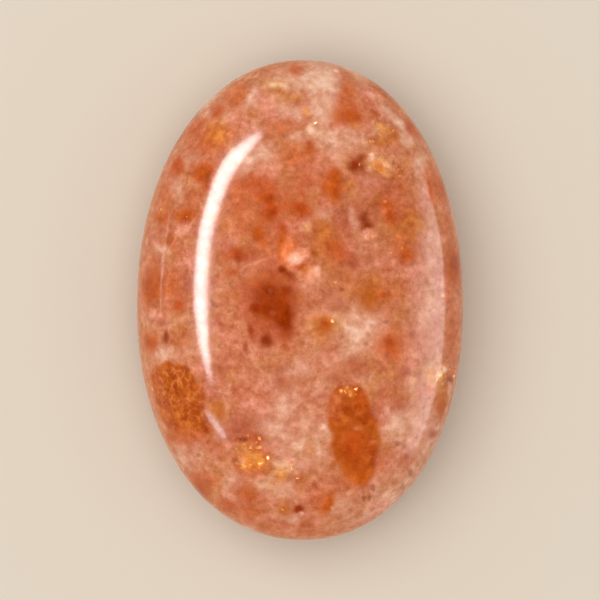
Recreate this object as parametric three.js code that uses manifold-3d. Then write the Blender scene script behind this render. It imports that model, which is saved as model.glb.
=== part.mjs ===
// A polished sunstone: one oval pebble of feldspar with a domed top, a slightly flatter
// underside and a small ground flat that it rests on.
// Units are millimetres and +Z is up. The length runs along Y and the width along X. The
// origin is in the middle of the stone's footprint, on the surface that it stands on.

import * as THREE from "three";
import { mergeVertices } from "three/addons/utils/BufferGeometryUtils.js";
import Module from "manifold-3d";

// Driving dimensions
const LENGTH = 60;
const WIDTH = 40.8;
const DOME_HEIGHT = 11; // the widest line to the crown
const UNDERSIDE_DEPTH = 10; // the widest line to the ground flat
const FLAT_GRIND = 0.2; // what was ground off the underside to make the flat

// How the oval differs from an ellipse. A fullness of 2 is an ellipse, and more is squarer.
const OUTLINE_FULLNESS = 2.11;
const SECTION_FULLNESS = 2.08;
const END_FLARE = 0.021; // the share by which the -Y end is wider, and the +Y end narrower
const SIDEWAYS_BOW = 0.017; // how far both ends lean towards +X, as a share of half the width

// The surface is made of flat facets, this many along each edge of a 20-sided ball.
const FACETS_PER_EDGE = 15;

// Colours and finish
const PEACH = 0xd4875f;
const POLISH_ROUGHNESS = 0.08;

// Moves one point of the unit ball out to the stone's surface.
function toStone(point) {
  const across = Math.abs(point.x) ** OUTLINE_FULLNESS;
  const along = Math.abs(point.y) ** OUTLINE_FULLNESS;
  const level = (across + along) ** (SECTION_FULLNESS / OUTLINE_FULLNESS);
  const upright = Math.abs(point.z) ** SECTION_FULLNESS;
  const reach = (level + upright) ** (-1 / SECTION_FULLNESS);
  point.multiplyScalar(reach);
  const width = point.x * (1 - END_FLARE * point.y) + SIDEWAYS_BOW * point.y ** 2;
  const height = point.z > 0 ? DOME_HEIGHT : UNDERSIDE_DEPTH + FLAT_GRIND;
  return point.set((width * WIDTH) / 2, (point.y * LENGTH) / 2, point.z * height);
}

// A closed ball of nearly equal triangles with one vertex at each corner, shaped as the pebble.
function pebbleGeometry() {
  const ball = new THREE.IcosahedronGeometry(1, FACETS_PER_EDGE - 1);
  ball.deleteAttribute("normal");
  ball.deleteAttribute("uv");
  const pebble = mergeVertices(ball);
  const position = pebble.getAttribute("position");
  const point = new THREE.Vector3();
  for (let i = 0; i < position.count; i++) {
    toStone(point.fromBufferAttribute(position, i).normalize());
    position.setXYZ(i, point.x, point.y, point.z);
  }
  return pebble;
}

// The block that the grinding wheel takes away under the flat.
function groundAwayGeometry() {
  const thickness = 4 * FLAT_GRIND;
  const block = new THREE.BoxGeometry(WIDTH, LENGTH, thickness);
  block.deleteAttribute("normal");
  block.deleteAttribute("uv");
  block.translate(0, 0, -UNDERSIDE_DEPTH - thickness / 2);
  return mergeVertices(block);
}

function toSolid(wasm, geometry) {
  return new wasm.Manifold(
    new wasm.Mesh({
      numProp: 3,
      vertProperties: new Float32Array(geometry.getAttribute("position").array),
      triVerts: new Uint32Array(geometry.index.array),
    }),
  );
}

function toGeometry(solid) {
  const mesh = solid.getMesh();
  const geometry = new THREE.BufferGeometry();
  const position = new THREE.BufferAttribute(new Float32Array(mesh.vertProperties), 3);
  geometry.setAttribute("position", position);
  geometry.setIndex(new THREE.BufferAttribute(new Uint32Array(mesh.triVerts), 1));
  return geometry;
}

// Puts the footprint's middle at x = y = 0 and the lowest face at z = 0.
function standOnOrigin(geometry) {
  geometry.computeBoundingBox();
  const box = geometry.boundingBox;
  const middle = box.getCenter(new THREE.Vector3());
  geometry.translate(-middle.x, -middle.y, -box.min.z);
  geometry.computeVertexNormals();
  return geometry;
}

const wasm = await Module();
wasm.setup();

const pebble = toSolid(wasm, pebbleGeometry());
const ground = pebble.subtract(toSolid(wasm, groundAwayGeometry()));

const stone = new THREE.Mesh(
  standOnOrigin(toGeometry(ground)),
  new THREE.MeshStandardMaterial({
    color: PEACH,
    roughness: POLISH_ROUGHNESS,
    metalness: 0,
  }),
);
stone.name = "sunstone";

const model = new THREE.Group();
model.add(stone);

export default model;
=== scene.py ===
from math import pi, radians, sin
from random import Random
from typing import NamedTuple

import bmesh
import bpy
import numpy as np
from mathutils import Matrix, Vector, noise


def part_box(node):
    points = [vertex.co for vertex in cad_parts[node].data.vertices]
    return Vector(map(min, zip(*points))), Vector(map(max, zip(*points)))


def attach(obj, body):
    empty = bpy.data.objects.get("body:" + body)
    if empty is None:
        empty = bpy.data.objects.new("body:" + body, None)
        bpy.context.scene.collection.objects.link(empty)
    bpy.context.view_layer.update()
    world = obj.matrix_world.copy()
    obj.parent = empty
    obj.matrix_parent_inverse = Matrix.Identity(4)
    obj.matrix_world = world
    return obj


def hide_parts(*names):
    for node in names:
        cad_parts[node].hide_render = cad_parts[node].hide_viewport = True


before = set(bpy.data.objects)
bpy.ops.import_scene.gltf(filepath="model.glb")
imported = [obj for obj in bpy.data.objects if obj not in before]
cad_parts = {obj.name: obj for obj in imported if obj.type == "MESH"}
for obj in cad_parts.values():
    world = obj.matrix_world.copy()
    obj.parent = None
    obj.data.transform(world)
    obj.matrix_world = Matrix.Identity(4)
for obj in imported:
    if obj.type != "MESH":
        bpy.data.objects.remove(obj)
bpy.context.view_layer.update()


# The stone is one oval pebble, sawn from a translucent feldspar, ground to a long low dome with a
# slightly flatter back, and tumbled until it shines. The tumbling leaves waves too low to feel, and
# a small flat is ground on the back, which the stone lies on.
MM = 0.001
low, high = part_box("sunstone")
width, length, thickness = (high - low) / MM
WIDEST_LEVEL = 10 / 21  # how far up the thickness the stone is widest
FLAT_GRIND = 0.2  # what the ground flat takes off the back
OUTLINE_FULLNESS = 2.11  # exponent of the outline seen from above, 2 being an ellipse
SECTION_FULLNESS = 2.08  # exponent of the sections that stand upright
END_FLARE = 0.021  # how much wider the lower end is
SIDEWAYS_BOW = 0.017  # how far both ends lean to one side
FINENESS = 7  # icosphere levels, which give 81920 faces
WAVES = ((11.0, 0.05), (5.0, 0.018))  # tumbling waves: wavelength and height

underside_depth = thickness * WIDEST_LEVEL
dome_height = thickness - underside_depth


def shape_point(ball):
    """The stone's point, in mm from the middle of its widest level, for a point on the unit ball."""
    across = abs(ball.x) ** OUTLINE_FULLNESS
    along = abs(ball.y) ** OUTLINE_FULLNESS
    level = (across + along) ** (SECTION_FULLNESS / OUTLINE_FULLNESS)
    upright = abs(ball.z) ** SECTION_FULLNESS
    point = ball * (level + upright) ** (-1 / SECTION_FULLNESS)
    half_width = width / 2 * (1 - END_FLARE * point.y)
    bow = SIDEWAYS_BOW * point.y**2 * width / 2
    height = dome_height if point.z > 0 else underside_depth + FLAT_GRIND
    return Vector((point.x * half_width + bow, point.y * length / 2, point.z * height))


def shape_stone(bm):
    """Turns a ball into the pebble, in metres, filling the same box as the solid it stands for."""
    for vertex in bm.verts:
        outwards = vertex.co.copy()
        vertex.co = shape_point(outwards)
        for wavelength, wave_height in WAVES:
            vertex.co += outwards * wave_height * noise.noise(vertex.co / wavelength)
    # The flat's rim is cut into the faces, and what lies below it is pressed level.
    bmesh.ops.bisect_plane(
        bm,
        geom=bm.verts[:] + bm.edges[:] + bm.faces[:],
        plane_co=(0, 0, -underside_depth),
        plane_no=(0, 0, -1),
    )
    for vertex in bm.verts:
        vertex.co.z = max(vertex.co.z, -underside_depth)
    bmesh.ops.triangulate(bm, faces=bm.faces[:])
    bmesh.ops.recalc_face_normals(bm, faces=bm.faces[:])
    points = np.array([vertex.co for vertex in bm.verts])
    lowest, highest = points.min(axis=0), points.max(axis=0)
    for vertex in bm.verts:
        for axis in range(3):
            share = (vertex.co[axis] - lowest[axis]) / (highest[axis] - lowest[axis])
            vertex.co[axis] = low[axis] + share * (high[axis] - low[axis])


# The feldspar is peach, with paler and pinker haze. Iron oxide has soaked into it along its cracks
# in rounded stains from gold and burnt orange to dark red, and thin plates of hematite flash gold.
# Two kinds below, the bright orange and the pale pink-white spots, are painted glints of those plates.
# Each stain reaches into the stone, so a mark is a soft-rimmed ball that the surface cuts through.
def tone(red, green, blue):
    """A colour in a colour picker's steps from 0 to 255, as the linear one that shaders use."""
    steps = (red / 255, green / 255, blue / 255)
    linear = [s / 12.92 if s <= 0.04045 else ((s + 0.055) / 1.055) ** 2.4 for s in steps]
    return (*linear, 1.0)


class Stain(NamedTuple):
    """One kind of stain or painted glint. A mark is x, y, half width and half length in mm, lean in
    degrees, strength.
    """

    name: str
    tones: tuple
    fade: float  # how far each side of its outline a mark fades, as a share of its size
    wander: float  # how uneven its outlines are
    raggedness: float  # how much the grain of the stone eats into it
    scattered: int  # how many more marks lie in the back and sides
    size: float  # and the mean half size of those, in mm
    marks: tuple


# Each stain covers those before it. The last two have no tones: they say where the stone is crazed
# and where gold plates lie. A comment among the marks holds up to the next one.
STAINS = (
    Stain("haze", (tone(230, 172, 142), tone(238, 190, 162)), 1.0, 0.8, 0.25, 18, 3.2, (
        # broad and faint, down the middle
        (0.5, -8.6, 2.6, 2.0, 0, 0.5),
        (-2.6, 23.4, 2.4, 2.4, 0, 0.55),
        (0.4, -20.4, 2.0, 1.6, 0, 0.4),
        # the upper end
        (1.6, 27.0, 2.6, 2.0, 0, 1.0),
        (3.6, 27.0, 1.4, 2.4, 0, 1.0),
        (3.0, 25.0, 1.4, 2.2, 0, 0.9),
        (2.4, 23.2, 1.4, 2.8, -8, 0.8),
        (-0.6, 22.9, 1.0, 1.0, 0, 0.7),
        (-1.5, 27.4, 2.0, 1.2, 0, 0.7),
        (1.2, 21.2, 0.8, 0.8, 0, 0.8),
        (4.6, 19.9, 3.9, 1.7, 0, 0.7),
        (-6.0, 25.2, 0.9, 1.6, -10, 0.8),
        (-4.0, 18.2, 1.2, 1.0, 0, 0.7),
        (-6.3, 16.9, 1.6, 0.8, 40, 0.9),
        (-3.6, 16.2, 0.9, 0.6, 0, 0.5),
        (-0.8, 20.2, 1.4, 0.7, 0, 0.6),
        # the rim of the upper half
        (12.0, 22.2, 0.6, 2.2, 50, 0.8),
        (13.3, 20.0, 0.8, 1.3, 30, 0.8),
        (15.1, 16.4, 0.8, 2.0, 14, 0.5),
        (-15.2, 13.6, 0.7, 1.3, 10, 0.7),
        (-13.6, 17.3, 1.3, 0.9, 30, 0.6),
        (-9.3, 22.6, 0.5, 0.9, 0, 0.6),
        (-16.8, 6.0, 1.0, 0.6, 0, 0.6),
        # between the stains above the middle, and down the right side
        (1.6, 3.4, 1.3, 0.8, 0, 0.5),
        (3.0, 10.2, 0.9, 1.3, 0, 0.6),
        (6.5, 10.8, 0.5, 0.8, 0, 0.6),
        (6.8, 9.4, 0.5, 0.8, 0, 0.7),
        (15.8, -1.0, 1.6, 4.6, 0, 0.4),
        (15.8, 7.0, 1.3, 4.0, 4, 0.4),
        # the palest cloud, right of the middle
        (7.0, -3.6, 2.5, 2.6, 0, 1.0),
        (6.4, -6.0, 1.8, 1.2, 0, 0.8),
        (7.6, -0.4, 0.8, 0.6, 0, 0.7),
        # the lower half
        (12.0, -15.4, 1.9, 2.0, 0, 0.75),
        (13.4, -16.6, 2.4, 2.8, 0, 0.5),
        (15.8, -17.2, 2.2, 3.4, -25, 0.6),
        (13.4, -21.8, 1.8, 3.0, -38, 0.55),
        (-14.8, -19.4, 1.4, 2.2, 35, 0.5),
        (-1.8, -13.6, 2.6, 3.2, 0, 0.6),
        (-3.6, -16.0, 1.8, 2.4, 0, 0.65),
        (-0.6, -17.6, 3.0, 2.2, 0, 0.6),
        (2.4, -17.4, 1.2, 3.0, 0, 0.6),
        (-1.8, -19.9, 1.4, 0.9, 0, 0.8),
        (-3.9, -22.9, 1.1, 1.1, 0, 0.8),
        (-1.4, -23.4, 1.8, 1.6, 0, 0.5),
        (-1.4, -27.0, 1.8, 0.8, 0, 0.6),
        (5.4, -25.6, 1.8, 1.8, 0, 0.5),
        (10.0, -24.0, 2.0, 2.4, 0, 0.5),
        (8.6, -26.6, 2.6, 1.1, 25, 0.5),
        (-16.0, -6.7, 1.8, 0.9, 0, 0.8),
        (-13.4, -19.0, 1.6, 1.0, 0, 0.5),
        (-8.6, -22.6, 1.2, 1.0, 0, 0.6),
        (-9.3, -13.2, 0.6, 0.8, 0, 0.6),
        (1.4, -11.4, 2.4, 1.6, 0, 0.4),
    )),
    Stain("blush", (tone(220, 132, 104), tone(226, 146, 118)), 1.0, 1.0, 0.8, 16, 2.6, (
        (-4.2, 23.7, 1.4, 1.7, 0, 0.9),
        (-7.7, 22.2, 1.1, 1.3, 0, 0.8),
        (-6.3, 21.6, 1.0, 0.9, 0, 0.6),
        (-8.4, 20.2, 1.2, 0.8, 35, 0.8),
        (8.6, 24.5, 1.4, 1.3, 0, 0.8),
        (4.4, 21.3, 0.9, 0.5, 0, 0.9),
        (-4.0, 15.8, 1.6, 1.0, 0, 0.8),
        (2.4, 16.8, 1.8, 1.2, 0, 0.6),
        (10.4, 18.6, 1.4, 0.7, 0, 0.7),
        (8.2, 21.0, 0.8, 0.9, 0, 0.6),
        (8.0, 13.2, 1.0, 0.8, 0, 0.5),
        (15.2, 12.6, 1.2, 2.6, 5, 0.4),
        (16.6, 7.0, 1.2, 3.2, 0, 0.25),
        (16.4, -10.8, 1.1, 1.3, 0, 0.9),
        (-0.8, 8.9, 1.5, 0.6, 0, 0.9),
        (3.2, 11.8, 1.0, 0.7, 0, 0.7),
        (-8.4, 7.4, 0.9, 1.0, 0, 0.7),
        (-14.0, 4.6, 1.2, 1.8, 0, 0.7),
        (-14.8, 8.6, 1.3, 0.8, 25, 0.8),
        (-17.9, -1.5, 0.8, 0.7, 0, 0.9),
        (-8.8, -1.8, 1.8, 1.4, 0, 0.5),
        (-8.2, -4.6, 1.6, 2.0, 0, 0.5),
        (-12.6, -9.0, 1.2, 0.7, 0, 0.9),
        (-11.2, -11.6, 1.0, 0.8, 0, 0.7),
        (-6.4, -12.6, 2.8, 2.0, 0, 0.7),
        (-8.7, -17.9, 0.6, 0.5, 0, 0.9),
        (-8.4, -24.4, 1.4, 1.0, 30, 0.6),
        (0.9, -2.2, 1.2, 0.9, 0, 0.6),
        (9.7, -15.0, 0.5, 1.1, 0, 0.9),
        (9.6, -25.6, 1.4, 0.7, 15, 0.9),
        (2.2, -23.6, 1.2, 1.4, 0, 0.6),
        (-1.6, -28.2, 1.8, 0.7, 0, 0.7),
        (14.8, -17.0, 1.2, 1.4, 0, 0.6),
        (14.2, 3.4, 1.2, 0.8, 0, 0.6),
        (5.4, 7.0, 1.0, 2.0, 0, 0.6),
        (13.6, -8.0, 1.2, 1.8, 0, 0.5),
    )),
    Stain("mauve", (tone(190, 100, 68), tone(180, 90, 62)), 1.0, 1.0, 1.0, 12, 1.6, (
        (5.8, 10.6, 0.5, 1.1, 0, 0.9),
        (10.4, 13.2, 1.4, 1.4, 0, 0.7),
        (-8.6, 6.6, 0.6, 0.9, 0, 0.6),
        (-6.3, 5.2, 0.7, 0.7, 0, 0.9),
        (5.0, 10.0, 0.9, 1.8, 0, 0.8),
        (8.4, 10.4, 1.7, 2.4, 0, 0.8),
        (4.9, 9.5, 0.6, 0.7, 0, 0.7),
        (8.5, 12.1, 0.5, 0.5, 0, 0.6),
        (6.2, 4.7, 1.3, 0.9, 0, 1.0),
        (8.0, 5.2, 1.0, 0.6, 0, 0.6),
        (8.0, 3.5, 1.6, 0.7, 0, 0.5),
        (4.9, -0.9, 1.2, 0.7, 0, 0.8),
        (7.0, -7.9, 1.4, 0.9, -15, 0.9),
        (4.6, -9.6, 1.4, 0.7, 0, 0.8),
        (-1.8, -10.0, 1.2, 0.9, 0, 0.7),
        (-2.2, -8.3, 1.4, 0.8, 0, 0.6),
        (-7.4, -15.6, 2.4, 1.4, 12, 0.9),
        (-6.0, -16.8, 1.6, 0.8, 0, 0.9),
        (-7.0, 1.6, 1.4, 2.0, 0, 0.5),
        (-13.9, 2.2, 0.8, 1.4, 0, 0.7),
        (-17.4, -2.8, 0.9, 0.7, 0, 0.6),
        (12.2, -12.7, 0.9, 0.8, 0, 0.8),
        (12.8, -9.0, 0.7, 1.4, -20, 0.7),
        (16.4, -16.7, 0.8, 0.7, 0, 0.8),
        (-9.7, -8.6, 1.0, 0.7, 0, 0.6),
        (-6.0, 15.6, 1.2, 0.4, 15, 0.7),
        (8.9, 19.8, 0.7, 0.6, 0, 0.9),
        (2.8, 8.6, 1.4, 0.9, 0, 0.7),
        (10.8, 14.2, 1.2, 1.0, 0, 0.6),
        (8.8, 15.0, 1.6, 0.9, 0, 0.5),
        (5.0, -22.6, 1.4, 0.9, 0, 0.5),
        (-7.8, -2.1, 0.5, 0.5, 0, 0.7),
        (3.4, 1.0, 1.6, 1.3, 0, 0.6),
        (1.6, -0.8, 1.2, 0.9, 0, 0.4),
        (6.2, 8.0, 0.9, 1.2, 0, 0.6),
    )),
    Stain("burnt", (tone(178, 76, 20), tone(196, 98, 34)), 0.2, 0.5, 0.5, 12, 2.4, (
        # the long patch low on the right
        (6.1, -11.8, 2.3, 1.4, 0, 1.0),
        (6.2, -13.6, 2.8, 2.9, 0, 1.0),
        (6.5, -15.2, 3.2, 2.4, 0, 1.0),
        (6.9, -17.4, 3.0, 4.1, 0, 1.0),
        (7.1, -20.3, 2.1, 2.5, 0, 1.0),
        # the patch low on the left
        (-15.9, -10.0, 3.0, 2.3, 0, 1.0),
        (-15.0, -12.2, 3.6, 2.5, 0, 1.0),
        (-14.4, -14.0, 3.6, 2.1, 0, 1.0),
        (-13.4, -15.5, 3.0, 1.5, 0, 1.0),
        (-16.1, -13.0, 1.3, 2.0, 0, 1.0),
        (-15.0, -15.3, 1.6, 1.2, 0, 0.9),
    )),
    Stain("ochre", (tone(190, 100, 38), tone(202, 116, 52)), 0.8, 0.8, 0.8, 12, 1.6, (
        (13.7, 9.7, 1.9, 1.5, 0, 1.0),
        (12.9, 7.8, 1.6, 1.7, 0, 1.0),
        (11.9, 9.0, 1.4, 1.0, 0, 0.7),
        (13.5, 5.9, 1.0, 1.0, 0, 0.8),
        (14.6, 11.3, 0.7, 0.6, 0, 0.5),
        (3.0, -3.5, 1.8, 1.4, 0, 0.9),
        (8.8, 0.8, 2.0, 2.2, 0, 1.0),
        (5.6, 2.2, 2.0, 1.5, 0, 0.5),
        (2.6, 9.6, 1.0, 0.8, 0, 0.5),
        (-9.6, 9.0, 1.0, 1.4, 0, 0.5),
        (-8.8, 0.6, 1.2, 1.0, 0, 0.4),
        (13.2, 16.9, 0.9, 0.6, 0, 0.5),
        (9.9, 13.2, 0.9, 0.7, 0, 0.5),
        (10.9, 15.4, 0.5, 0.8, -25, 0.6),
        (6.5, 21.2, 1.0, 0.5, 0, 0.6),
        (1.7, 5.8, 0.9, 0.7, 0, 1.0),
        (3.0, 7.7, 1.7, 1.9, 0, 0.95),
        (0.1, 0.4, 0.7, 0.5, 0, 0.7),
        (10.2, 19.4, 1.7, 0.7, 0, 0.8),
        (11.5, 20.4, 0.7, 0.9, 0, 0.7),
        (10.2, 21.6, 1.2, 0.6, 15, 0.5),
        (6.2, 14.0, 0.9, 1.0, 0, 0.6),
        (-5.2, 9.4, 0.8, 0.8, 0, 0.5),
        (-0.9, 25.1, 1.6, 0.8, 0, 0.7),
        (-10.2, -13.5, 1.0, 1.2, 0, 1.0),
        (-2.2, -25.9, 0.9, 1.0, 0, 0.8),
        (0.0, -23.0, 1.0, 1.5, 0, 0.6),
        (-4.4, -20.6, 1.0, 1.0, 0, 0.6),
        (13.6, -4.2, 0.6, 1.2, 0, 0.5),
        (17.7, -12.2, 1.0, 2.2, -8, 1.0),
        (4.8, -3.6, 0.5, 1.2, 0, 0.6),
        (1.1, -3.7, 0.5, 0.7, 0, 0.5),
    )),
    Stain("orange", (tone(202, 102, 54), tone(210, 114, 68)), 0.9, 1.0, 0.7, 24, 2.0, (
        (-7.4, 12.6, 2.6, 3.2, 0, 0.9),
        (-7.0, 9.2, 1.6, 1.4, 0, 0.8),
        (-5.0, 10.4, 2.4, 2.4, 0, 0.6),
        (-4.6, 6.6, 2.0, 2.4, 0, 0.6),
        (-10.7, 19.9, 2.3, 2.3, 0, 0.9),
        (-8.2, 25.9, 1.4, 1.5, 0, 1.0),
        (-13.4, 19.4, 1.2, 1.0, 0, 0.6),
        (-12.2, 15.6, 1.4, 1.4, 0, 1.0),
        (-16.9, 12.4, 1.0, 1.8, 8, 1.0),
        (-13.0, 12.4, 1.4, 1.6, 0, 0.6),
        (-16.2, 2.0, 1.3, 1.8, 0, 0.9),
        (-18.3, 4.6, 0.8, 1.5, 0, 0.7),
        (-14.6, -4.8, 1.0, 2.2, 0, 0.5),
        (-18.5, -5.2, 0.9, 1.1, 0, 0.9),
        (-0.4, 17.8, 2.4, 1.8, 0, 0.75),
        (1.0, 15.2, 2.6, 1.6, 0, 0.6),
        (6.1, 25.7, 1.2, 2.0, 0, 0.8),
        (5.8, 28.0, 0.8, 0.9, 0, 0.7),
        (5.9, 23.1, 2.2, 1.9, 0, 0.9),
        (-2.7, 21.3, 1.7, 1.0, 0, 0.8),
        (-0.4, 28.7, 1.2, 0.9, 0, 0.7),
        (16.9, 14.2, 1.2, 2.3, 10, 1.0),
        (16.6, 16.6, 0.6, 1.2, 15, 0.8),
        (-1.4, 6.4, 1.6, 1.6, 0, 1.0),
        (3.6, 6.6, 1.5, 1.2, 0, 0.6),
        (4.4, 5.4, 1.6, 1.0, 0, 0.6),
        (11.4, 1.2, 1.8, 1.4, 0, 0.6),
        (2.8, -3.6, 1.9, 1.4, 0, 0.3),
        (11.2, -5.8, 2.2, 2.1, 0, 0.8),
        (10.8, -8.2, 1.4, 1.2, 0, 0.5),
        (4.3, -13.2, 0.8, 1.6, -10, 0.8),
        (-11.5, -22.8, 2.0, 0.9, 10, 1.0),
        (-13.8, -17.0, 2.4, 0.9, -8, 0.9),
        (3.0, -25.2, 1.3, 1.5, -10, 0.8),
        (1.6, -28.8, 4.6, 1.0, 0, 0.5),
        (-6.6, -26.6, 2.6, 1.2, 20, 0.7),
        (-3.6, -28.6, 2.4, 0.9, 10, 0.6),
        (-6.2, -19.4, 2.0, 2.2, 0, 0.9),
        (6.4, -22.8, 1.8, 1.0, 0, 0.6),
        (9.6, -20.6, 0.9, 1.6, -20, 0.5),
        (17.7, -12.4, 0.7, 2.0, -8, 0.4),
        (19.2, -4.6, 0.9, 4.6, 0, 0.8),
        (18.9, 0.2, 0.9, 2.0, 0, 0.6),
        (18.6, 9.4, 0.9, 3.0, 8, 0.7),
        (12.8, 24.0, 1.2, 1.4, 45, 0.6),
        (10.6, 12.2, 1.6, 0.8, 0, 0.7),
        (12.6, 6.8, 1.4, 2.0, 0, 0.8),
        (11.8, 10.6, 1.4, 1.4, 0, 0.7),
        (13.4, -20.4, 0.9, 1.8, 0, 0.5),
    )),
    Stain("rust", (tone(200, 88, 28), tone(188, 76, 22)), 0.85, 0.9, 0.8, 24, 1.5, (
        (-3.4, -0.4, 3.3, 4.4, 8, 0.85),
        (-2.2, 8.7, 0.9, 0.7, 0, 0.8),
        (-8.9, 3.6, 0.7, 0.9, 35, 0.7),
        (-1.6, 11.8, 3.8, 3.0, -20, 0.6),
        (-3.6, 10.8, 1.4, 1.4, 0, 1.0),
        (-3.9, 12.9, 1.5, 1.3, 0, 1.0),
        (-1.8, 11.4, 1.6, 1.2, 0, 0.7),
        (-0.2, 11.0, 1.6, 1.3, 0, 0.95),
        (-4.8, 14.3, 2.6, 0.9, 0, 0.7),
        (0.4, 13.0, 0.7, 1.6, 35, 0.6),
        (-8.0, 5.6, 1.8, 1.0, 0, 0.8),
        (-8.4, 3.4, 1.2, 0.7, 0, 0.7),
        (4.3, 15.4, 1.3, 1.0, 0, 0.8),
        (3.0, 13.8, 0.6, 1.4, 0, 0.7),
        (5.2, 22.6, 1.4, 1.0, 0, 0.6),
        (5.2, 24.4, 1.2, 1.8, 10, 0.45),
        (13.0, 14.2, 1.7, 2.0, 0, 0.45),
        (11.3, 10.6, 1.0, 1.2, 25, 1.0),
        (10.6, 12.0, 1.3, 0.5, 0, 0.8),
        (13.9, 21.4, 0.6, 1.6, 35, 0.9),
        (-10.5, 23.5, 1.0, 0.8, 30, 0.9),
        (-13.1, 21.3, 0.9, 1.6, -38, 0.8),
        (-15.3, 16.4, 0.9, 1.5, -15, 1.0),
        (-11.2, 16.2, 0.8, 0.7, 0, 0.9),
        (-11.6, 13.8, 0.6, 1.2, -15, 0.8),
        (-15.0, -0.7, 0.9, 1.0, 0, 0.75),
        (-16.0, 7.1, 1.0, 1.0, 0, 0.6),
        (-17.6, -9.3, 0.9, 0.8, 0, 0.7),
        (11.3, -5.5, 1.2, 1.1, 0, 0.7),
        (12.5, 15.9, 0.8, 0.5, -15, 0.6),
        (12.9, 11.8, 0.8, 0.4, 0, 0.6),
        (11.6, 20.4, 0.6, 0.6, 0, 0.5),
        (7.5, -12.3, 1.1, 1.2, 0, 0.75),
        (6.7, -18.0, 1.6, 2.4, 0, 0.85),
        (8.2, -13.4, 0.9, 1.4, 0, 0.35),
        (6.6, -20.2, 0.9, 0.8, 0, 0.35),
        (-6.0, -24.3, 1.5, 1.1, 15, 0.6),
        (-9.0, -25.9, 1.4, 0.8, -30, 0.8),
        (-6.2, -27.4, 1.0, 0.7, 0, 0.6),
        (-2.0, -5.6, 0.8, 0.9, 0, 0.7),
        (-5.4, -17.1, 0.8, 0.4, 0, 0.8),
        (-0.5, 28.6, 0.9, 0.7, 0, 0.6),
        (10.6, 0.4, 0.8, 0.5, 0, 0.7),
        (5.0, 5.8, 1.4, 1.2, 0, 0.6),
        (0.3, 4.2, 1.1, 0.6, 0, 0.8),
    )),
    Stain("ember", (tone(188, 82, 16), tone(198, 92, 28)), 0.75, 0.7, 0.9, 14, 1.3, (
        (-18.6, 1.6, 1.3, 2.2, 0, 1.0),
        (-17.3, 10.2, 0.9, 0.9, 0, 0.9),
        (-14.2, 10.4, 1.4, 0.9, 0, 1.0),
        (-11.9, 15.4, 0.9, 1.1, 0, 0.9),
        (-10.6, 19.9, 1.3, 1.1, 0, 0.5),
        (4.3, 13.8, 1.1, 1.8, 0, 1.0),
        (6.7, 22.5, 1.0, 0.8, 0, 0.85),
        (10.5, 26.0, 2.4, 0.9, -35, 1.0),
        (19.2, 4.3, 1.2, 2.4, 0, 1.0),
        (13.2, 5.4, 1.1, 1.0, 0, 0.9),
        (8.7, 0.1, 1.4, 1.4, 0, 0.35),
        (-18.5, -5.2, 0.9, 0.9, 0, 0.9),
        (3.2, -3.2, 1.0, 0.8, 0, 0.7),
        (3.9, 6.3, 0.9, 0.9, 0, 0.6),
        (-2.4, 7.0, 0.7, 1.2, 0, 0.9),
        (-5.1, 8.0, 0.9, 1.5, 0, 0.85),
        (7.4, 16.8, 1.3, 1.2, 0, 0.5),
        (-15.9, -16.9, 1.2, 0.9, 0, 0.7),
        (-12.3, -24.0, 1.2, 2.0, 20, 1.0),
        (3.7, -25.1, 0.6, 1.4, -15, 0.9),
        (1.6, -29.0, 2.4, 0.7, 0, 0.2),
        (-4.8, -28.2, 0.9, 0.6, 0, 0.7),
        (17.9, 13.8, 0.7, 1.9, 12, 0.8),
        (16.3, 13.4, 0.3, 1.4, 12, 0.7),
        (17.6, -13.2, 0.6, 1.2, -8, 0.8),
        (0.9, 18.8, 0.6, 1.1, 0, 0.7),
        (7.4, -22.0, 1.1, 1.1, 0, 0.9),
        (11.2, -4.7, 1.1, 0.6, 0, 0.3),
        (11.4, -7.2, 0.9, 0.6, 0, 0.3),
    )),
    Stain("dark", (tone(144, 42, 0), tone(158, 56, 8)), 0.65, 0.7, 0.8, 8, 1.4, (
        # the dark core near the middle, and the small marks around it
        (-3.1, -0.6, 2.8, 3.2, 0, 0.65),
        (-2.0, -1.9, 1.5, 2.2, 0, 1.0),
        (-3.9, -1.2, 1.1, 1.0, 0, 0.95),
        (-5.1, -1.0, 0.8, 0.8, 0, 0.9),
        (-3.6, 1.2, 1.3, 1.1, 0, 0.85),
        (-4.9, 0.6, 0.9, 1.1, 0, 0.75),
        (-1.6, 1.1, 1.4, 1.0, 0, 0.7),
        (-3.2, 2.8, 2.0, 1.0, 0, 0.4),
        (-4.1, -4.9, 0.8, 0.9, 0, 0.9),
        (-6.2, -3.6, 0.5, 1.1, 10, 0.65),
        (-6.8, -5.6, 0.4, 0.8, 10, 0.65),
        (-1.5, 3.2, 1.4, 0.6, -30, 0.7),
        (-2.4, 3.8, 0.7, 0.6, 0, 0.95),
        (-7.4, 5.1, 0.6, 1.1, 0, 0.6),
        (-2.2, 9.0, 0.7, 0.7, 0, 0.35),
        (-5.1, 8.0, 0.5, 1.0, 0, 0.3),
        # the curved mark high on the right, and the small ones below and beside it
        (6.9, 16.5, 0.9, 0.8, 0, 0.85),
        (7.7, 16.2, 0.6, 0.6, 0, 0.85),
        (7.6, 17.3, 0.9, 0.5, 25, 0.75),
        (7.9, 10.1, 0.7, 0.7, 0, 0.8),
        (8.2, 9.1, 0.8, 0.8, 0, 0.9),
        (7.8, 8.3, 0.4, 0.5, 0, 0.6),
        (11.3, 10.7, 0.6, 0.6, 0, 0.45),
        (5.5, 11.0, 0.4, 0.6, 0, 0.4),
        (5.9, 9.4, 0.4, 0.7, 0, 0.5),
        (10.0, 7.9, 0.6, 0.4, 0, 0.45),
        (9.8, 6.7, 0.4, 0.7, 0, 0.35),
        (7.0, 6.5, 0.5, 0.4, 0, 0.45),
        (14.2, 14.4, 0.6, 0.4, 0, 0.4),
        (12.6, 15.8, 0.5, 0.4, 0, 0.3),
        (11.3, 16.2, 0.4, 0.4, 0, 0.4),
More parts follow.
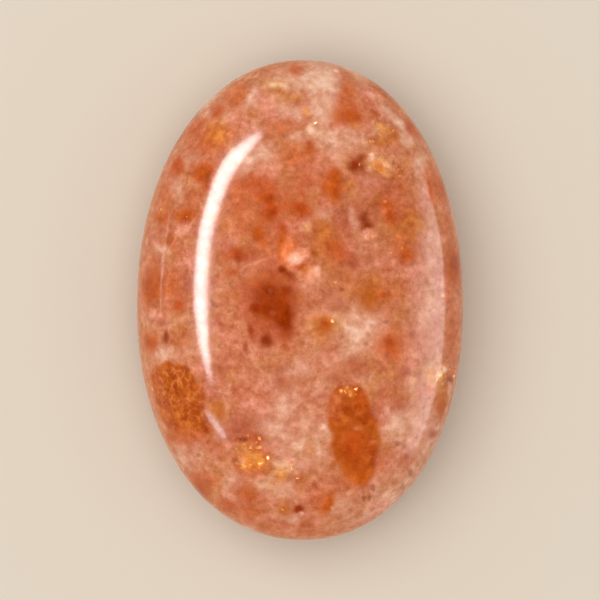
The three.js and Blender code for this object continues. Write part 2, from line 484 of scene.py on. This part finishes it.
        (11.7, 17.0, 0.4, 0.4, 0, 0.35),
        # the darker hearts of other stains, and single spots
        (-18.7, 1.7, 1.0, 1.8, 0, 0.45),
        (19.3, 4.3, 0.9, 2.0, 0, 0.45),
        (10.6, 26.0, 1.9, 0.7, -35, 0.5),
        (17.8, 13.6, 0.5, 1.5, 12, 0.3),
        (-11.3, 15.4, 0.5, 0.9, 0, 0.6),
        (4.6, -17.2, 0.5, 1.6, 12, 0.3),
        (6.2, -19.2, 1.2, 1.8, 0, 0.35),
        (11.2, -5.2, 0.7, 0.5, 0, 0.5),
        (17.6, -12.8, 0.5, 1.3, 0, 0.2),
        (-18.5, -5.3, 0.7, 0.7, 0, 0.35),
        (-3.4, 10.4, 0.9, 0.9, 0, 0.5),
        (-3.8, 12.7, 0.8, 0.8, 0, 0.5),
        (-0.2, 10.6, 0.9, 0.7, 0, 0.35),
        (1.6, 5.7, 0.9, 0.6, 0, 0.4),
        (6.2, 4.5, 0.7, 0.5, 0, 0.35),
        (7.4, 3.2, 0.4, 0.4, 0, 0.4),
        (10.6, 1.6, 0.4, 0.4, 0, 0.4),
        (-0.3, -25.8, 0.7, 0.5, 0, 0.9),
        (-7.1, -17.2, 0.7, 0.4, 0, 0.85),
        (-12.4, -23.8, 0.8, 1.5, 20, 0.35),
        (-16.5, -4.6, 0.35, 0.8, 0, 0.8),
        (18.9, -10.0, 0.4, 0.4, 0, 0.8),
    )),
    Stain("straw", (tone(230, 166, 104), tone(240, 188, 128)), 1.0, 0.9, 0.5, 6, 1.6, (
        (-3.2, 26.6, 1.8, 1.3, 0, 0.55),
        (-2.2, 25.6, 1.9, 1.2, 0, 0.45),
        (9.7, 16.4, 1.5, 1.1, 0, 0.6),
        (10.6, 20.8, 0.8, 0.8, 0, 0.5),
        (-6.9, -18.6, 1.0, 0.9, 0, 0.4),
        (-2.4, -20.8, 1.4, 1.0, 0, 0.5),
        (-3.9, -22.6, 1.0, 1.2, 0, 0.5),
        (17.0, -9.6, 1.3, 1.2, 0, 0.7),
        (6.2, -11.0, 1.3, 0.5, 0, 0.2),
        (9.5, 21.0, 0.7, 0.6, 0, 0.5),
        (0.8, 8.7, 0.6, 0.5, 0, 0.6),
        (4.8, -2.9, 0.6, 1.4, 0, 0.5),
        (1.2, -3.6, 0.6, 0.8, 0, 0.4),
        (1.2, 3.5, 0.5, 0.7, 0, 0.5),
    )),
    Stain("gold", (tone(228, 132, 46), tone(238, 152, 68)), 0.8, 0.8, 1.0, 10, 1.2, (
        (-3.0, 26.4, 1.8, 1.2, 0, 0.15),
        (-9.8, 20.6, 1.8, 1.5, 0, 0.5),
        (10.6, 20.6, 0.8, 0.8, 0, 0.5),
        (6.9, 21.1, 1.2, 0.6, 0, 0.3),
        (9.6, 16.3, 0.8, 0.7, 0, 0.9),
        (10.2, 21.2, 0.6, 0.5, 0, 0.5),
        (6.0, 13.7, 0.7, 0.5, 0, 0.5),
        (0.9, 3.6, 0.7, 0.6, 0, 0.5),
        (-6.2, -19.7, 1.0, 1.0, 0, 1.0),
        (-5.2, -20.2, 0.4, 1.1, -35, 0.8),
        (-6.6, -18.0, 0.9, 0.5, 0, 0.5),
        (-2.4, -21.4, 0.7, 1.0, 0, 0.6),
        (5.9, -10.9, 0.8, 0.5, 0, 0.35),
        (6.4, -11.5, 0.35, 0.8, -20, 0.4),
        (17.0, -9.4, 1.1, 0.6, 0, 1.0),
        (1.2, -18.4, 0.6, 0.6, 0, 0.5),
        (0.6, 23.2, 0.5, 0.9, 0, 0.5),
    )),
    # Painted glints: bright orange spots where the gold plates flash in the light.
    Stain("glow", (tone(238, 128, 68), tone(244, 142, 94)), 0.8, 0.6, 0.5, 4, 0.8, (
        # painted glint: the bright orange flash above the dark core
        (-1.7, 5.6, 1.1, 1.2, 15, 1.0),
        (-1.2, 6.9, 0.6, 0.8, 0, 0.7),
        (-0.6, 6.3, 1.0, 0.8, 0, 0.5),
        # painted glints: small bright spots elsewhere
        (10.4, 16.7, 0.8, 0.5, -15, 0.5),
        (10.3, 10.8, 0.5, 0.6, 0, 0.6),
        (11.9, 11.4, 0.5, 0.4, 0, 0.4),
        (11.9, 9.7, 0.4, 0.4, 0, 0.4),
        (-6.1, -19.8, 0.7, 0.8, 0, 0.3),
        (16.4, -10.9, 0.8, 0.8, 0, 0.6),
        (0.3, 2.9, 0.6, 0.4, 0, 0.5),
        (1.5, 3.2, 1.3, 1.0, 0, 0.5),
        (-6.5, 9.0, 0.6, 0.8, 0, 0.3),
        (-13.1, 21.6, 0.5, 0.8, -38, 0.3),
    )),
    # Painted glints: pale pink-white flecks where the gold plates flash in the light.
    Stain("painted_glint", (tone(250, 170, 136), tone(255, 200, 170)), 0.7, 0.5, 0.5, 8, 0.5, (
        # painted glint: the palest part of that flash, and two spots below it
        (-0.1, 5.5, 1.1, 0.7, 20, 0.95),
        (0.5, 5.7, 0.7, 0.6, -15, 1.0),
        (-0.9, 4.9, 0.8, 0.5, 0, 0.6),
        (2.0, 3.6, 0.6, 0.6, 0, 0.4),
        (1.5, 2.8, 1.1, 0.6, 0, 0.25),
        # painted glints: small pale spots elsewhere
        (8.6, 8.0, 0.8, 0.6, 0, 1.0),
        (9.0, 17.5, 0.5, 0.5, 0, 0.9),
        (10.3, 16.6, 0.7, 0.4, -15, 0.45),
        (11.7, 16.1, 0.4, 0.4, 0, 0.6),
        (9.7, 15.4, 0.4, 0.4, 0, 0.3),
        (8.3, 16.1, 0.4, 0.4, 0, 0.4),
        (8.0, 19.4, 0.5, 0.4, 0, 0.6),
        (14.5, 15.4, 0.4, 0.4, 0, 0.4),
        (9.0, 9.8, 0.3, 0.4, 0, 0.4),
        (-14.5, 7.9, 0.5, 0.4, 0, 0.5),
        (-13.6, 9.2, 0.3, 1.1, -40, 0.4),
        (-16.6, 5.9, 0.9, 0.4, 0, 0.4),
        (-3.5, 26.8, 0.6, 0.4, 0, 0.4),
        (1.1, 21.2, 0.4, 0.5, 0, 0.8),
        (4.6, 28.4, 0.4, 0.3, 0, 0.9),
        (17.4, -9.2, 0.9, 0.4, 20, 0.8),
        (18.1, -8.9, 0.35, 0.35, 0, 0.9),
        (18.7, -11.0, 0.35, 0.8, 0, 0.6),
        (-1.3, -19.8, 0.6, 0.4, 0, 0.9),
        (2.7, -15.7, 0.35, 0.4, 0, 0.8),
        (7.1, -15.8, 0.5, 0.4, 0, 0.3),
        (9.0, -17.5, 0.6, 0.4, 0, 0.3),
        (-7.2, -19.7, 0.5, 0.5, 0, 0.5),
        (-0.4, -25.1, 0.4, 0.3, 0, 0.6),
        (0.0, -26.3, 0.35, 0.3, 0, 0.6),
        (-15.8, -3.2, 0.35, 0.35, 0, 0.5),
        (10.3, -5.8, 0.4, 0.4, 0, 0.25),
    )),
    Stain("crazed", (), 0.4, 1.0, 0, 5, 3.0, (
        # the patch low on the left
        (-15.4, -10.4, 3.0, 3.2, 25, 1.0),
        (-13.8, -13.8, 2.6, 2.6, 25, 0.7),
    )),
    Stain("spangle", (), 0.9, 1.0, 0, 6, 1.5, (
        # the golden spots low on the left, high on the right and at the right edge come first
        (-6.3, -19.5, 1.8, 1.8, 0, 0.55),
        (10.2, 16.7, 1.7, 1.4, 0, 0.8),
        (17.6, -9.6, 1.3, 1.0, 0, 0.9),
        (-3.0, 26.4, 1.6, 1.2, 0, 0.3),
        (10.3, 20.8, 1.3, 1.2, 0, 0.5),
        (6.1, -11.2, 1.0, 0.6, 0, 0.45),
        (11.0, 10.8, 1.0, 1.0, 0, 0.5),
        (1.6, 3.5, 0.9, 0.8, 0, 0.1),
        (-2.2, -20.4, 2.0, 1.8, 0, 0.2),
    )),
)
MARK_DEPTH = 6.0  # how far under the dome its marks reach, in mm
WANDER = ((5.0, 0.5), (2.2, 0.5), (1.0, 0.35))  # bends in the outlines: wavelength and reach, in mm
WANDER_SEED = 1796067600  # without a seed, the bends differ from run to run
SCATTER_SEED = 27
SCATTER_DEPTH = 0.8  # spread of the scattered marks downwards, against their spread outwards
SCATTER_SIZES = (0.5, 1.5)  # smallest and largest, as shares of a stain's mean size
SCATTER_STRENGTHS = (0.6, 1)


def dome_level(x, y):
    """Height of the dome's surface above the table, in mm, at a place seen from above."""
    across = abs(2 * x / width) ** OUTLINE_FULLNESS
    along = abs(2 * y / length) ** OUTLINE_FULLNESS
    level = min(1, across + along) ** (SECTION_FULLNESS / OUTLINE_FULLNESS)
    return underside_depth + dome_height * (1 - level) ** (1 / SECTION_FULLNESS)


def marks_in_stone(stain, chance):
    """Every mark of one stain: those placed on the dome, and those scattered in the back and sides."""
    for x, y, half_width, half_length, lean, strength in stain.marks:
        yield (x, y, dome_level(x, y)), (half_width, half_length, MARK_DEPTH), lean, strength
    for _ in range(stain.scattered):
        across, along = chance.gauss(0, 1), chance.gauss(0, 1)
        down = abs(chance.gauss(0, SCATTER_DEPTH))
        outwards = Vector((across, along, -down)).normalized()
        middle = shape_point(outwards) + Vector((0, 0, underside_depth))
        sizes = [stain.size * chance.uniform(*SCATTER_SIZES) for _ in range(3)]
        yield tuple(middle), sizes, chance.uniform(0, 180), chance.uniform(*SCATTER_STRENGTHS)


def stain_cover(points, stain, chance):
    """How strongly each point is stained: a mark's strength inside it, fading across its rim."""
    cover = np.zeros(len(points))
    for middle, half_sizes, lean, strength in marks_in_stone(stain, chance):
        turn = np.array(Matrix.Rotation(radians(lean), 3, "Z"))
        distance = np.linalg.norm((points - middle) @ turn / half_sizes, axis=1)
        inside = np.clip((1 + stain.fade - distance) / (2 * stain.fade), 0, 1)
        cover = np.maximum(cover, strength * inside)
    return cover


def bend_at(place):
    """How far the outline of a mark wanders at a place."""
    return sum((noise.noise_vector(place / size) * reach for size, reach in WANDER), Vector())


def lay_stains(bm):
    """Keeps, for each stain, how strongly it covers every point of the stone."""
    noise.seed_set(WANDER_SEED)
    points = np.array([vertex.co / MM for vertex in bm.verts])
    bends = np.array([bend_at(vertex.co / MM) for vertex in bm.verts])
    chance = Random(SCATTER_SEED)
    for stain in STAINS:
        layer = bm.verts.layers.float.new(stain.name)
        covers = stain_cover(points + bends * stain.wander, stain, chance)
        for vertex, cover in zip(bm.verts, covers):
            vertex[layer] = cover


ball = bmesh.new()
bmesh.ops.create_icosphere(ball, subdivisions=FINENESS, radius=1)
shape_stone(ball)
lay_stains(ball)
for face in ball.faces:
    face.smooth = True
stone_mesh = bpy.data.meshes.new("sunstone_pebble")
ball.to_mesh(stone_mesh)
ball.free()
stone = bpy.data.objects.new("sunstone_pebble", stone_mesh)
bpy.context.scene.collection.objects.link(stone)
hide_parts("sunstone")
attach(stone, "root")


# The colour is the stone's: a peach ground clouded with rose, salmon and tan, the stains on it, rosy
# dots, pale cracks, brown specks, and gold plates that glint. Painted glints and a painted amber
# reflection at the sides are mixed in too. Over them lies one clear polish.
class Shade:
    """A number, colour or place that varies over the surface. Python's operators add Math nodes."""

    def __init__(self, finish, socket):
        self.finish = finish
        self.socket = socket

    def maths(self, operation, *values):
        inputs = dict(enumerate(values))
        return self.finish.node("ShaderNodeMath", {"operation": operation}, inputs)

    def __add__(self, other):
        return self.maths("ADD", self, other)

    def __radd__(self, other):
        return self.maths("ADD", other, self)

    def __sub__(self, other):
        return self.maths("SUBTRACT", self, other)

    def __rsub__(self, other):
        return self.maths("SUBTRACT", other, self)

    def __mul__(self, other):
        return self.maths("MULTIPLY", self, other)

    def __rmul__(self, other):
        return self.maths("MULTIPLY", other, self)

    def __lt__(self, other):
        return self.maths("LESS_THAN", self, other)

    def __gt__(self, other):
        return self.maths("GREATER_THAN", self, other)

    def __abs__(self):
        return self.maths("ABSOLUTE", self)

    def rise(self, start, end):
        """0 up to start and 1 from end on, with a smooth step between. End may be below start."""
        settings = {"interpolation_type": "SMOOTHSTEP"}
        inputs = {"Value": self, "From Min": start, "From Max": end}
        return self.finish.node("ShaderNodeMapRange", settings, inputs)

    def vectors(self, operation, *values, output=0):
        inputs = dict(enumerate((self, *values)))
        return self.finish.node("ShaderNodeVectorMath", {"operation": operation}, inputs, output)

    def scaled(self, factor):
        inputs = {"Vector": self, "Scale": factor}
        return self.finish.node("ShaderNodeVectorMath", {"operation": "SCALE"}, inputs)

    def part(self, axis):
        return self.finish.node("ShaderNodeSeparateXYZ", {}, {0: self}, axis)

    def towards(self, colour, share):
        """This colour with a share of another mixed in."""
        return self.finish.mixed(self, colour, share)


class Finish:
    """A material with one shader, whose nodes all come from node. Its patterns' sizes are in mm."""

    def __init__(self, name):
        self.material = bpy.data.materials.new(name)
        self.material.use_nodes = True
        self.tree = self.material.node_tree
        self.shader = self.tree.nodes["Principled BSDF"]

    def node(self, kind, settings, inputs, output=0):
        made = self.tree.nodes.new(kind)
        for name, value in settings.items():
            setattr(made, name, value)
        self.fill(made, inputs)
        return Shade(self, made.outputs[output])

    def fill(self, made, inputs):
        for name, value in inputs.items():
            if isinstance(value, Shade):
                self.tree.links.new(value.socket, made.inputs[name])
            else:
                made.inputs[name].default_value = value

    def mixed(self, colour, other, share):
        inputs = {"Factor": share, 6: colour, 7: other}
        return self.node("ShaderNodeMix", {"data_type": "RGBA"}, inputs, 2)

    def kept(self, name):
        """A number kept on the mesh."""
        return self.node("ShaderNodeAttribute", {"attribute_name": name}, {}, "Fac")

    def place(self):
        """Where a point of the surface is, in mm."""
        return self.node("ShaderNodeTexCoord", {}, {}, "Object").scaled(1 / MM)

    def clouds(self, place, size, detail, output=0):
        """Soft noise from 0 to 1 whose blotches are about that size."""
        inputs = {"Vector": place, "Scale": 1 / size, "Detail": detail, "Roughness": 0.6}
        return self.node("ShaderNodeTexNoise", {}, inputs, output)

    def grains(self, place, size, output="Distance"):
        """Cells of about that size: how far off the nearest middle is, or each cell's own colour."""
        inputs = {"Vector": place, "Scale": 1 / size}
        return self.node("ShaderNodeTexVoronoi", {}, inputs, output)

    def cracks(self, place, size):
        """Lines between cells of about that size: how far off the nearest line is."""
        inputs = {"Vector": place, "Scale": 1 / size}
        return self.node("ShaderNodeTexVoronoi", {"feature": "DISTANCE_TO_EDGE"}, inputs)

    def bent(self, place, size, reach):
        """The place moved about by noise, so that an outline drawn with it is uneven."""
        wander = self.clouds(place, size, 1.0, "Color").vectors("SUBTRACT", (0.5, 0.5, 0.5))
        return wander.scaled(2 * reach).vectors("ADD", place)


PEACH = tone(208, 132, 92)
ROSE = tone(202, 116, 80)
SALMON = tone(212, 128, 100)
TAN = tone(200, 126, 72)
PALE = tone(224, 160, 124)
AMBER = tone(198, 104, 54)
# painted reflection: the deeper amber painted on the sides
PAINTED_EDGE_REFLECTION = tone(204, 100, 8)
ROSY_DOT = tone(178, 94, 68)
LIGHT_CRACK = tone(228, 140, 76)
LIGHT_VEIN = tone(240, 176, 136)
BROWN_SPECK = tone(140, 70, 42)
# the plates' colours are partly their own and partly a painted glint: pale and bright in any light
GOLD_PLATE_AND_GLINT = tone(252, 184, 110)
COPPER_PLATE_AND_GLINT = tone(246, 150, 90)
GRAIN_LIFT = (0.6, 1.0, 1.4)  # a paler grain is brighter in red, green and blue by these shares
BRIGHTEST = (0.9, 0.9, 0.9)  # the grain brightens the colour no further than this
EDGE_REACH = 3.6  # how far above and below the widest level the sides get a painted reflection in deeper amber
EDGE_CORE = 0.4  # and how far it does so most strongly
FOLDING = (3.0, 1.2)  # how the clouds and veins are bent: wavelength and reach
RUFFLING = (0.6, 0.2)  # how the dots and specks are
CRACK_BENDING = (1.2, 0.5)
VEIL_SIZE = 5.0
TINT_SIZE = 2.8
TINT_SHIFT = (40.0, 0.0, 0.0)  # keeps the tint's clouds apart from the others
BLOTCH_SIZE = 1.8
GRAIN_SIZE = 0.8
DUST_SIZE = 0.3
CRACK_SPACING = 1.1
DOT_SPACING = 1.3
PLATE_SIZE = 0.36
PLATE_SHARE = 0.3  # share of the cells that are gold plates where a spangle is strongest
STRAY_PLATES = 0.0012  # and away from any spangle
PLATE_TILT = 0.8
TINT_STRENGTH = 0.6  # how much of a colour is mixed in at most, here and in the next seven
BLOTCH_STRENGTH = 0.35
EDGE_STRENGTH = 0.9
CRACK_STRENGTH = 0.5
DOT_STRENGTH = 0.45
VEIN_STRENGTH = 0.25
SPECK_STRENGTH = 0.5
PLATE_STRENGTH = 0.75
STONE_INDEX = 1.54
POLISH_INDEX = 1.36  # lower than the stone's, so that the pale floor veils the sides less
GLOW_DEPTH = 0.6  # how far light spreads in the stone, in mm
# A speck or vein is x, y, half width and half length in mm, and its lean in degrees.
SPECKS = (
    (-16.5, -4.7, 0.3, 0.7, 0),
    (-10.45, -0.65, 0.4, 0.25, -20),
    (-8.2, -19.8, 0.3, 0.35, 0),
    (-11.4, -17.6, 0.22, 0.22, 0),
    (-12.6, -19.2, 0.32, 0.28, 0),
    (10.6, -2.7, 0.3, 0.24, 0),
    (12.0, -17.7, 0.35, 0.35, 0),
    (13.2, -19.4, 0.35, 0.4, 0),
    (13.7, -21.4, 0.3, 0.4, 0),
    (12.8, -23.4, 0.35, 0.5, 0),
    (9.0, -23.2, 0.3, 0.5, 0),
    (7.9, -24.6, 0.25, 0.4, 0),
    (8.6, -24.6, 0.25, 0.4, 0),
    (5.1, 1.3, 0.28, 0.28, 0),
    (11.5, 17.0, 0.22, 0.22, 0),
    (18.8, -10.0, 0.3, 0.25, 0),
)
VEINS = (
    (-14.7, 7.9, 0.16, 3.2, -42),
    (-6.2, 4.4, 0.14, 1.4, -65),
)
FAR_OFF = 9.0  # a distance beyond any mark's outline, in shares of the mark's size


def fine_marks(finish, place, marks):
    """1 within any of several small marks, given as x, y, half width, half length and lean."""
    nearest = FAR_OFF
    for x, y, half_width, half_length, lean in marks:
        inputs = {
            "Vector": place,
            "Location": (x, y, dome_level(x, y)),
            "Rotation": (0, 0, radians(lean)),
            "Scale": (half_width, half_length, MARK_DEPTH),
        }
        local = finish.node("ShaderNodeMapping", {"vector_type": "TEXTURE"}, inputs)
        distance = local.vectors("LENGTH", output=1)
        nearest = distance.maths("MINIMUM", distance, nearest)
    return nearest.rise(1.4, 0.6)


def sunstone_finish():
    """Polished sunstone: the peach ground, its stains, specks and plates, all under one clear polish.
    Painted glints and a painted reflection at the sides are in its colour too.
    """
    finish = Finish("sunstone")
    place = finish.place()
    folded = finish.bent(place, *FOLDING)
    ruffled = finish.bent(place, *RUFFLING)
    veil = finish.clouds(folded, VEIL_SIZE, 1.0)
    tint = finish.clouds(folded.vectors("ADD", TINT_SHIFT), TINT_SIZE, 1.0)
    blotch = finish.clouds(folded, BLOTCH_SIZE, 1.0)
    grain = finish.clouds(place, GRAIN_SIZE, 4.0)
    dust = finish.clouds(place, DUST_SIZE, 2.0)

    colour = finish.mixed(PEACH, ROSE, veil.rise(0.4, 0.6))
    colour = colour.towards(TAN, tint.rise(0.5, 0.7) * TINT_STRENGTH)
    colour = colour.towards(SALMON, tint.rise(0.5, 0.3) * TINT_STRENGTH)
    colour = colour.towards(PALE, blotch.rise(0.5, 0.75) * BLOTCH_STRENGTH)
    colour = colour.towards(AMBER, blotch.rise(0.5, 0.25) * BLOTCH_STRENGTH)
    # Painted reflection: the sides near the widest level are painted deeper amber, as a dark surround in
    # the polish.
    from_edge = abs(place.part(2) - underside_depth)
    colour = colour.towards(PAINTED_EDGE_REFLECTION, from_edge.rise(EDGE_REACH, EDGE_CORE) * EDGE_STRENGTH)

    for stain in STAINS:
        if stain.tones:
            eaten = 1 + ((grain - 0.5) * 0.6 + (blotch - 0.5) * 1.3) * stain.raggedness
            share = (finish.kept(stain.name) * eaten).rise(0.06, 0.94)
            tones = finish.mixed(*stain.tones, blotch.rise(0.35, 0.65))
            colour = colour.towards(tones, share)

    crack = finish.cracks(finish.bent(place, *CRACK_BENDING), CRACK_SPACING).rise(0.2, 0.0)
    crazing = crack * finish.kept("crazed")
    colour = colour.towards(LIGHT_CRACK, crazing * grain.rise(0.3, 0.6) * CRACK_STRENGTH)
    # Half of the cells have a rosy dot. On the burnt stain they don't show, and on haze they are fainter.
    dot = finish.grains(ruffled, DOT_SPACING).rise(0.4, 0.1)
    dot = dot * (finish.grains(ruffled, DOT_SPACING, "Color").part(1) > 0.5)
    dotted = DOT_STRENGTH - finish.kept("burnt") * DOT_STRENGTH - finish.kept("haze") * 0.2
    colour = colour.towards(ROSY_DOT, dot * dotted)
    # The mottling brightens and darkens all of it, by half as much on haze.
    mottling = (blotch - 0.5) * 0.5 + (grain - 0.5) * 1.4 + (dust - 0.5) * 0.6
    mottling = mottling * (1 - finish.kept("haze") * 0.5)
    inputs = {0: GRAIN_LIFT, "Scale": mottling}
    lift = finish.node("ShaderNodeVectorMath", {"operation": "SCALE"}, inputs)
    colour = colour.vectors("MULTIPLY", lift.vectors("ADD", (1.0, 1.0, 1.0)))
    colour = colour.vectors("MINIMUM", BRIGHTEST)
    colour = colour.towards(LIGHT_VEIN, fine_marks(finish, folded, VEINS) * VEIN_STRENGTH)
    colour = colour.towards(BROWN_SPECK, fine_marks(finish, ruffled, SPECKS) * SPECK_STRENGTH)

    # The plates are metallic and tilted, so they glint in the lamps; their pale bright colour is partly a
    # painted glint.
    cell = finish.grains(place, PLATE_SIZE, "Color")
    plate = cell.part(0) < finish.kept("spangle") * PLATE_SHARE + STRAY_PLATES
    gold = finish.mixed(GOLD_PLATE_AND_GLINT, COPPER_PLATE_AND_GLINT, cell.part(1))
    colour = colour.towards(gold, plate * PLATE_STRENGTH)
    facing = finish.node("ShaderNodeNewGeometry", {}, {}, "Normal")
    tilt = cell.vectors("SUBTRACT", (0.5, 0.5, 0.5)).scaled(plate * PLATE_TILT)
    facing = facing.vectors("ADD", tilt).vectors("NORMALIZE")

    finish.fill(
        finish.shader,
        {
            "Base Color": colour,
            "Metallic": plate * 0.3,
            "Roughness": 0.55 - plate * 0.25,
            "Normal": facing,
            "IOR": STONE_INDEX,
            "Specular IOR Level": 0.0,
            "Subsurface Weight": 0.6,
            "Subsurface Radius": (1.0, 0.8, 0.6),
            "Subsurface Scale": GLOW_DEPTH * MM,
            "Coat Weight": 1.0,
            "Coat Roughness": 0.12,
            "Coat IOR": POLISH_INDEX,
        },
    )
    return finish.material


stone.data.materials.append(sunstone_finish())


# The floor is a wide sheet of plain warm-white paper. The light is soft: a broad one overhead and a
# pale room, which don't show in the polish, and four glowing sheets, which show only there. They
# are the long softbox on the left, a small one below it, and two that stand low at the sides.
FLOOR_SIDE = 12.0
FLOOR_TONE = tone(217, 203, 185)
FLOOR_GAP = 0.02 * MM  # keeps the paper clear of the flat that lies on it
ROOM_LIGHT = 0.57
OVERHEAD_SIDE = 0.9
OVERHEAD_PLACE = Vector((-0.14, 0.03, 0.88))
OVERHEAD_BRIGHTNESS = 2.15
SOFTBOX_LEVEL = 0.45  # height of both softboxes. Their corners are x and y as shares of it
SOFTBOX_FADE = 0.035  # width of the rim in which their glow fades
SOFTBOX_CUTS = 4  # new points on each side of a softbox
SMOOTHINGS = 4  # rounds of smoothing that take the corners off
LONG_BRIGHTNESS = 37
LONG_CORNERS = (
    (-0.81, -0.42),
    (-0.8, -0.1),
    (-0.82, 0.08),
    (-0.79, 0.34),
    (-0.67, 0.62),
    (-0.52, 0.77),
    (-0.38, 0.97),
    (-0.74, 0.93),
    (-0.95, 0.88),
    (-1.02, 0.62),
    (-1.09, 0.36),
    (-1.075, 0.04),
    (-1.01, -0.12),
    (-0.91, -0.26),
)
SMALL_BRIGHTNESS = 25
SMALL_CORNERS = ((-0.78, -0.78), (-1.09, -0.69), (-1.11, -0.59), (-0.78, -0.69))
# An upright sheet's name, x and brightness, and then its outline as y, bottom and top, in metres.
UPRIGHT_SHEETS = (
    ("right_screen", 0.5, 6.0, (
        (-0.41, 0.003, 0.16),
        (-0.25, 0.003, 0.38),
        (-0.05, 0.003, 0.52),
        (0.08, 0.003, 0.45),
        (0.15, 0.003, 0.3),
        (0.3, 0.003, 0.14),
    )),
    ("left_sliver", -0.8, 16.0, (
        (-0.06, 0.11, 0.125),
        (0.08, 0.13, 0.155),
        (0.17, 0.105, 0.13),
        (0.27, 0.04, 0.065),
    )),
)
SHEET_COLUMNS = 40
SHEET_ROWS = 12
TOP_FADE = 1.3  # how steeply their glow fades towards the top
END_FADE = 1.3  # and towards both ends


def add_stage(name, bm, finish):
    """A stage object, which isn't part of the stone."""
    mesh = bpy.data.meshes.new(name)
    bm.to_mesh(mesh)
    bm.free()
    mesh.materials.append(finish.material)
    made = bpy.data.objects.new(name, mesh)
    bpy.context.scene.collection.objects.link(made)
    return made


def add_glowing_sheet(name, bm, brightness):
    """A sheet that shows in the polish but not to the camera. Its glow is kept on its points."""
    lit = Finish(name)
    glow = lit.mixed((0, 0, 0, 1), (1, 1, 1, 1), lit.kept("glow"))
    black = {"Base Color": (0, 0, 0, 1), "Specular IOR Level": 0}
    lit.fill(lit.shader, {**black, "Emission Color": glow, "Emission Strength": brightness})
    sheet = add_stage(name, bm, lit)
    sheet.visible_camera = False
    sheet.visible_diffuse = False
    sheet.visible_shadow = False


paper = Finish("paper")
paper.fill(paper.shader, {"Base Color": FLOOR_TONE, "Roughness": 0.9})
floor = bmesh.new()
under = Matrix.Translation((0, 0, -FLOOR_GAP))
bmesh.ops.create_grid(floor, x_segments=1, y_segments=1, size=FLOOR_SIDE / 2, matrix=under)
add_stage("floor", floor, paper)

for name, corners, brightness in (
    ("long_softbox", LONG_CORNERS, LONG_BRIGHTNESS),
    ("small_softbox", SMALL_CORNERS, SMALL_BRIGHTNESS),
):
    softbox = bmesh.new()
    glow = softbox.verts.layers.float.new("glow")
    face = softbox.faces.new([softbox.verts.new((x, y, 1)) for x, y in corners])
    bmesh.ops.scale(softbox, verts=softbox.verts, vec=[SOFTBOX_LEVEL] * 3)
    bmesh.ops.subdivide_edges(softbox, edges=softbox.edges, cuts=SOFTBOX_CUTS)
    for _ in range(SMOOTHINGS):
        bmesh.ops.smooth_vert(
            softbox, verts=softbox.verts, factor=0.5, use_axis_x=True, use_axis_y=True, use_axis_z=True
        )
    bmesh.ops.inset_region(softbox, faces=[face], thickness=SOFTBOX_FADE)
    for vertex in face.verts:
        vertex[glow] = 1
    add_glowing_sheet(name, softbox, brightness)

for name, x, brightness, profile in UPRIGHT_SHEETS:
    upright = bmesh.new()
    glow = upright.verts.layers.float.new("glow")
    bmesh.ops.create_grid(upright, x_segments=SHEET_COLUMNS, y_segments=SHEET_ROWS, size=0.5)
    places, bottoms, tops = zip(*profile)
    for vertex in upright.verts:
        along, up = vertex.co.x + 0.5, vertex.co.y + 0.5
        vertex[glow] = min(1, TOP_FADE * (1 - up)) * min(1, END_FADE * sin(pi * along))
        y = places[0] + (places[-1] - places[0]) * along
        bottom, top = np.interp(y, places, bottoms), np.interp(y, places, tops)
        vertex.co = (x, y, bottom + (top - bottom) * up)
    add_glowing_sheet(name, upright, brightness)

overhead_light = bpy.data.lights.new("overhead", "AREA")
overhead_light.size = OVERHEAD_SIDE
overhead_light.energy = OVERHEAD_BRIGHTNESS * pi * OVERHEAD_SIDE**2
overhead = bpy.data.objects.new("overhead", overhead_light)
bpy.context.scene.collection.objects.link(overhead)
overhead.location = OVERHEAD_PLACE
overhead.rotation_euler = OVERHEAD_PLACE.to_track_quat("Z", "Y").to_euler()
overhead.visible_glossy = False

world = bpy.data.worlds.new("room")
world.use_nodes = True
world.node_tree.nodes["Background"].inputs["Color"].default_value = (1, 1, 1, 1)
world.node_tree.nodes["Background"].inputs["Strength"].default_value = ROOM_LIGHT
world.cycles_visibility.glossy = False
bpy.context.scene.world = world
bpy.context.scene.view_settings.view_transform = "Standard"


# The camera looks straight down on the stone from above, through a long lens. Its frame is square,
# and as wide as FRAME_SIDE at the level where the stone is widest.
CAMERA_HEIGHT = 0.62
FRAME_SIDE = 0.075
SENSOR_WIDTH = 36
camera_data = bpy.data.cameras.new("camera")
camera_data.sensor_width = SENSOR_WIDTH
camera_data.lens = SENSOR_WIDTH * (CAMERA_HEIGHT - underside_depth * MM) / FRAME_SIDE
camera = bpy.data.objects.new("camera", camera_data)
bpy.context.scene.collection.objects.link(camera)
camera.location = (0, 0, CAMERA_HEIGHT)
bpy.context.scene.camera = camera
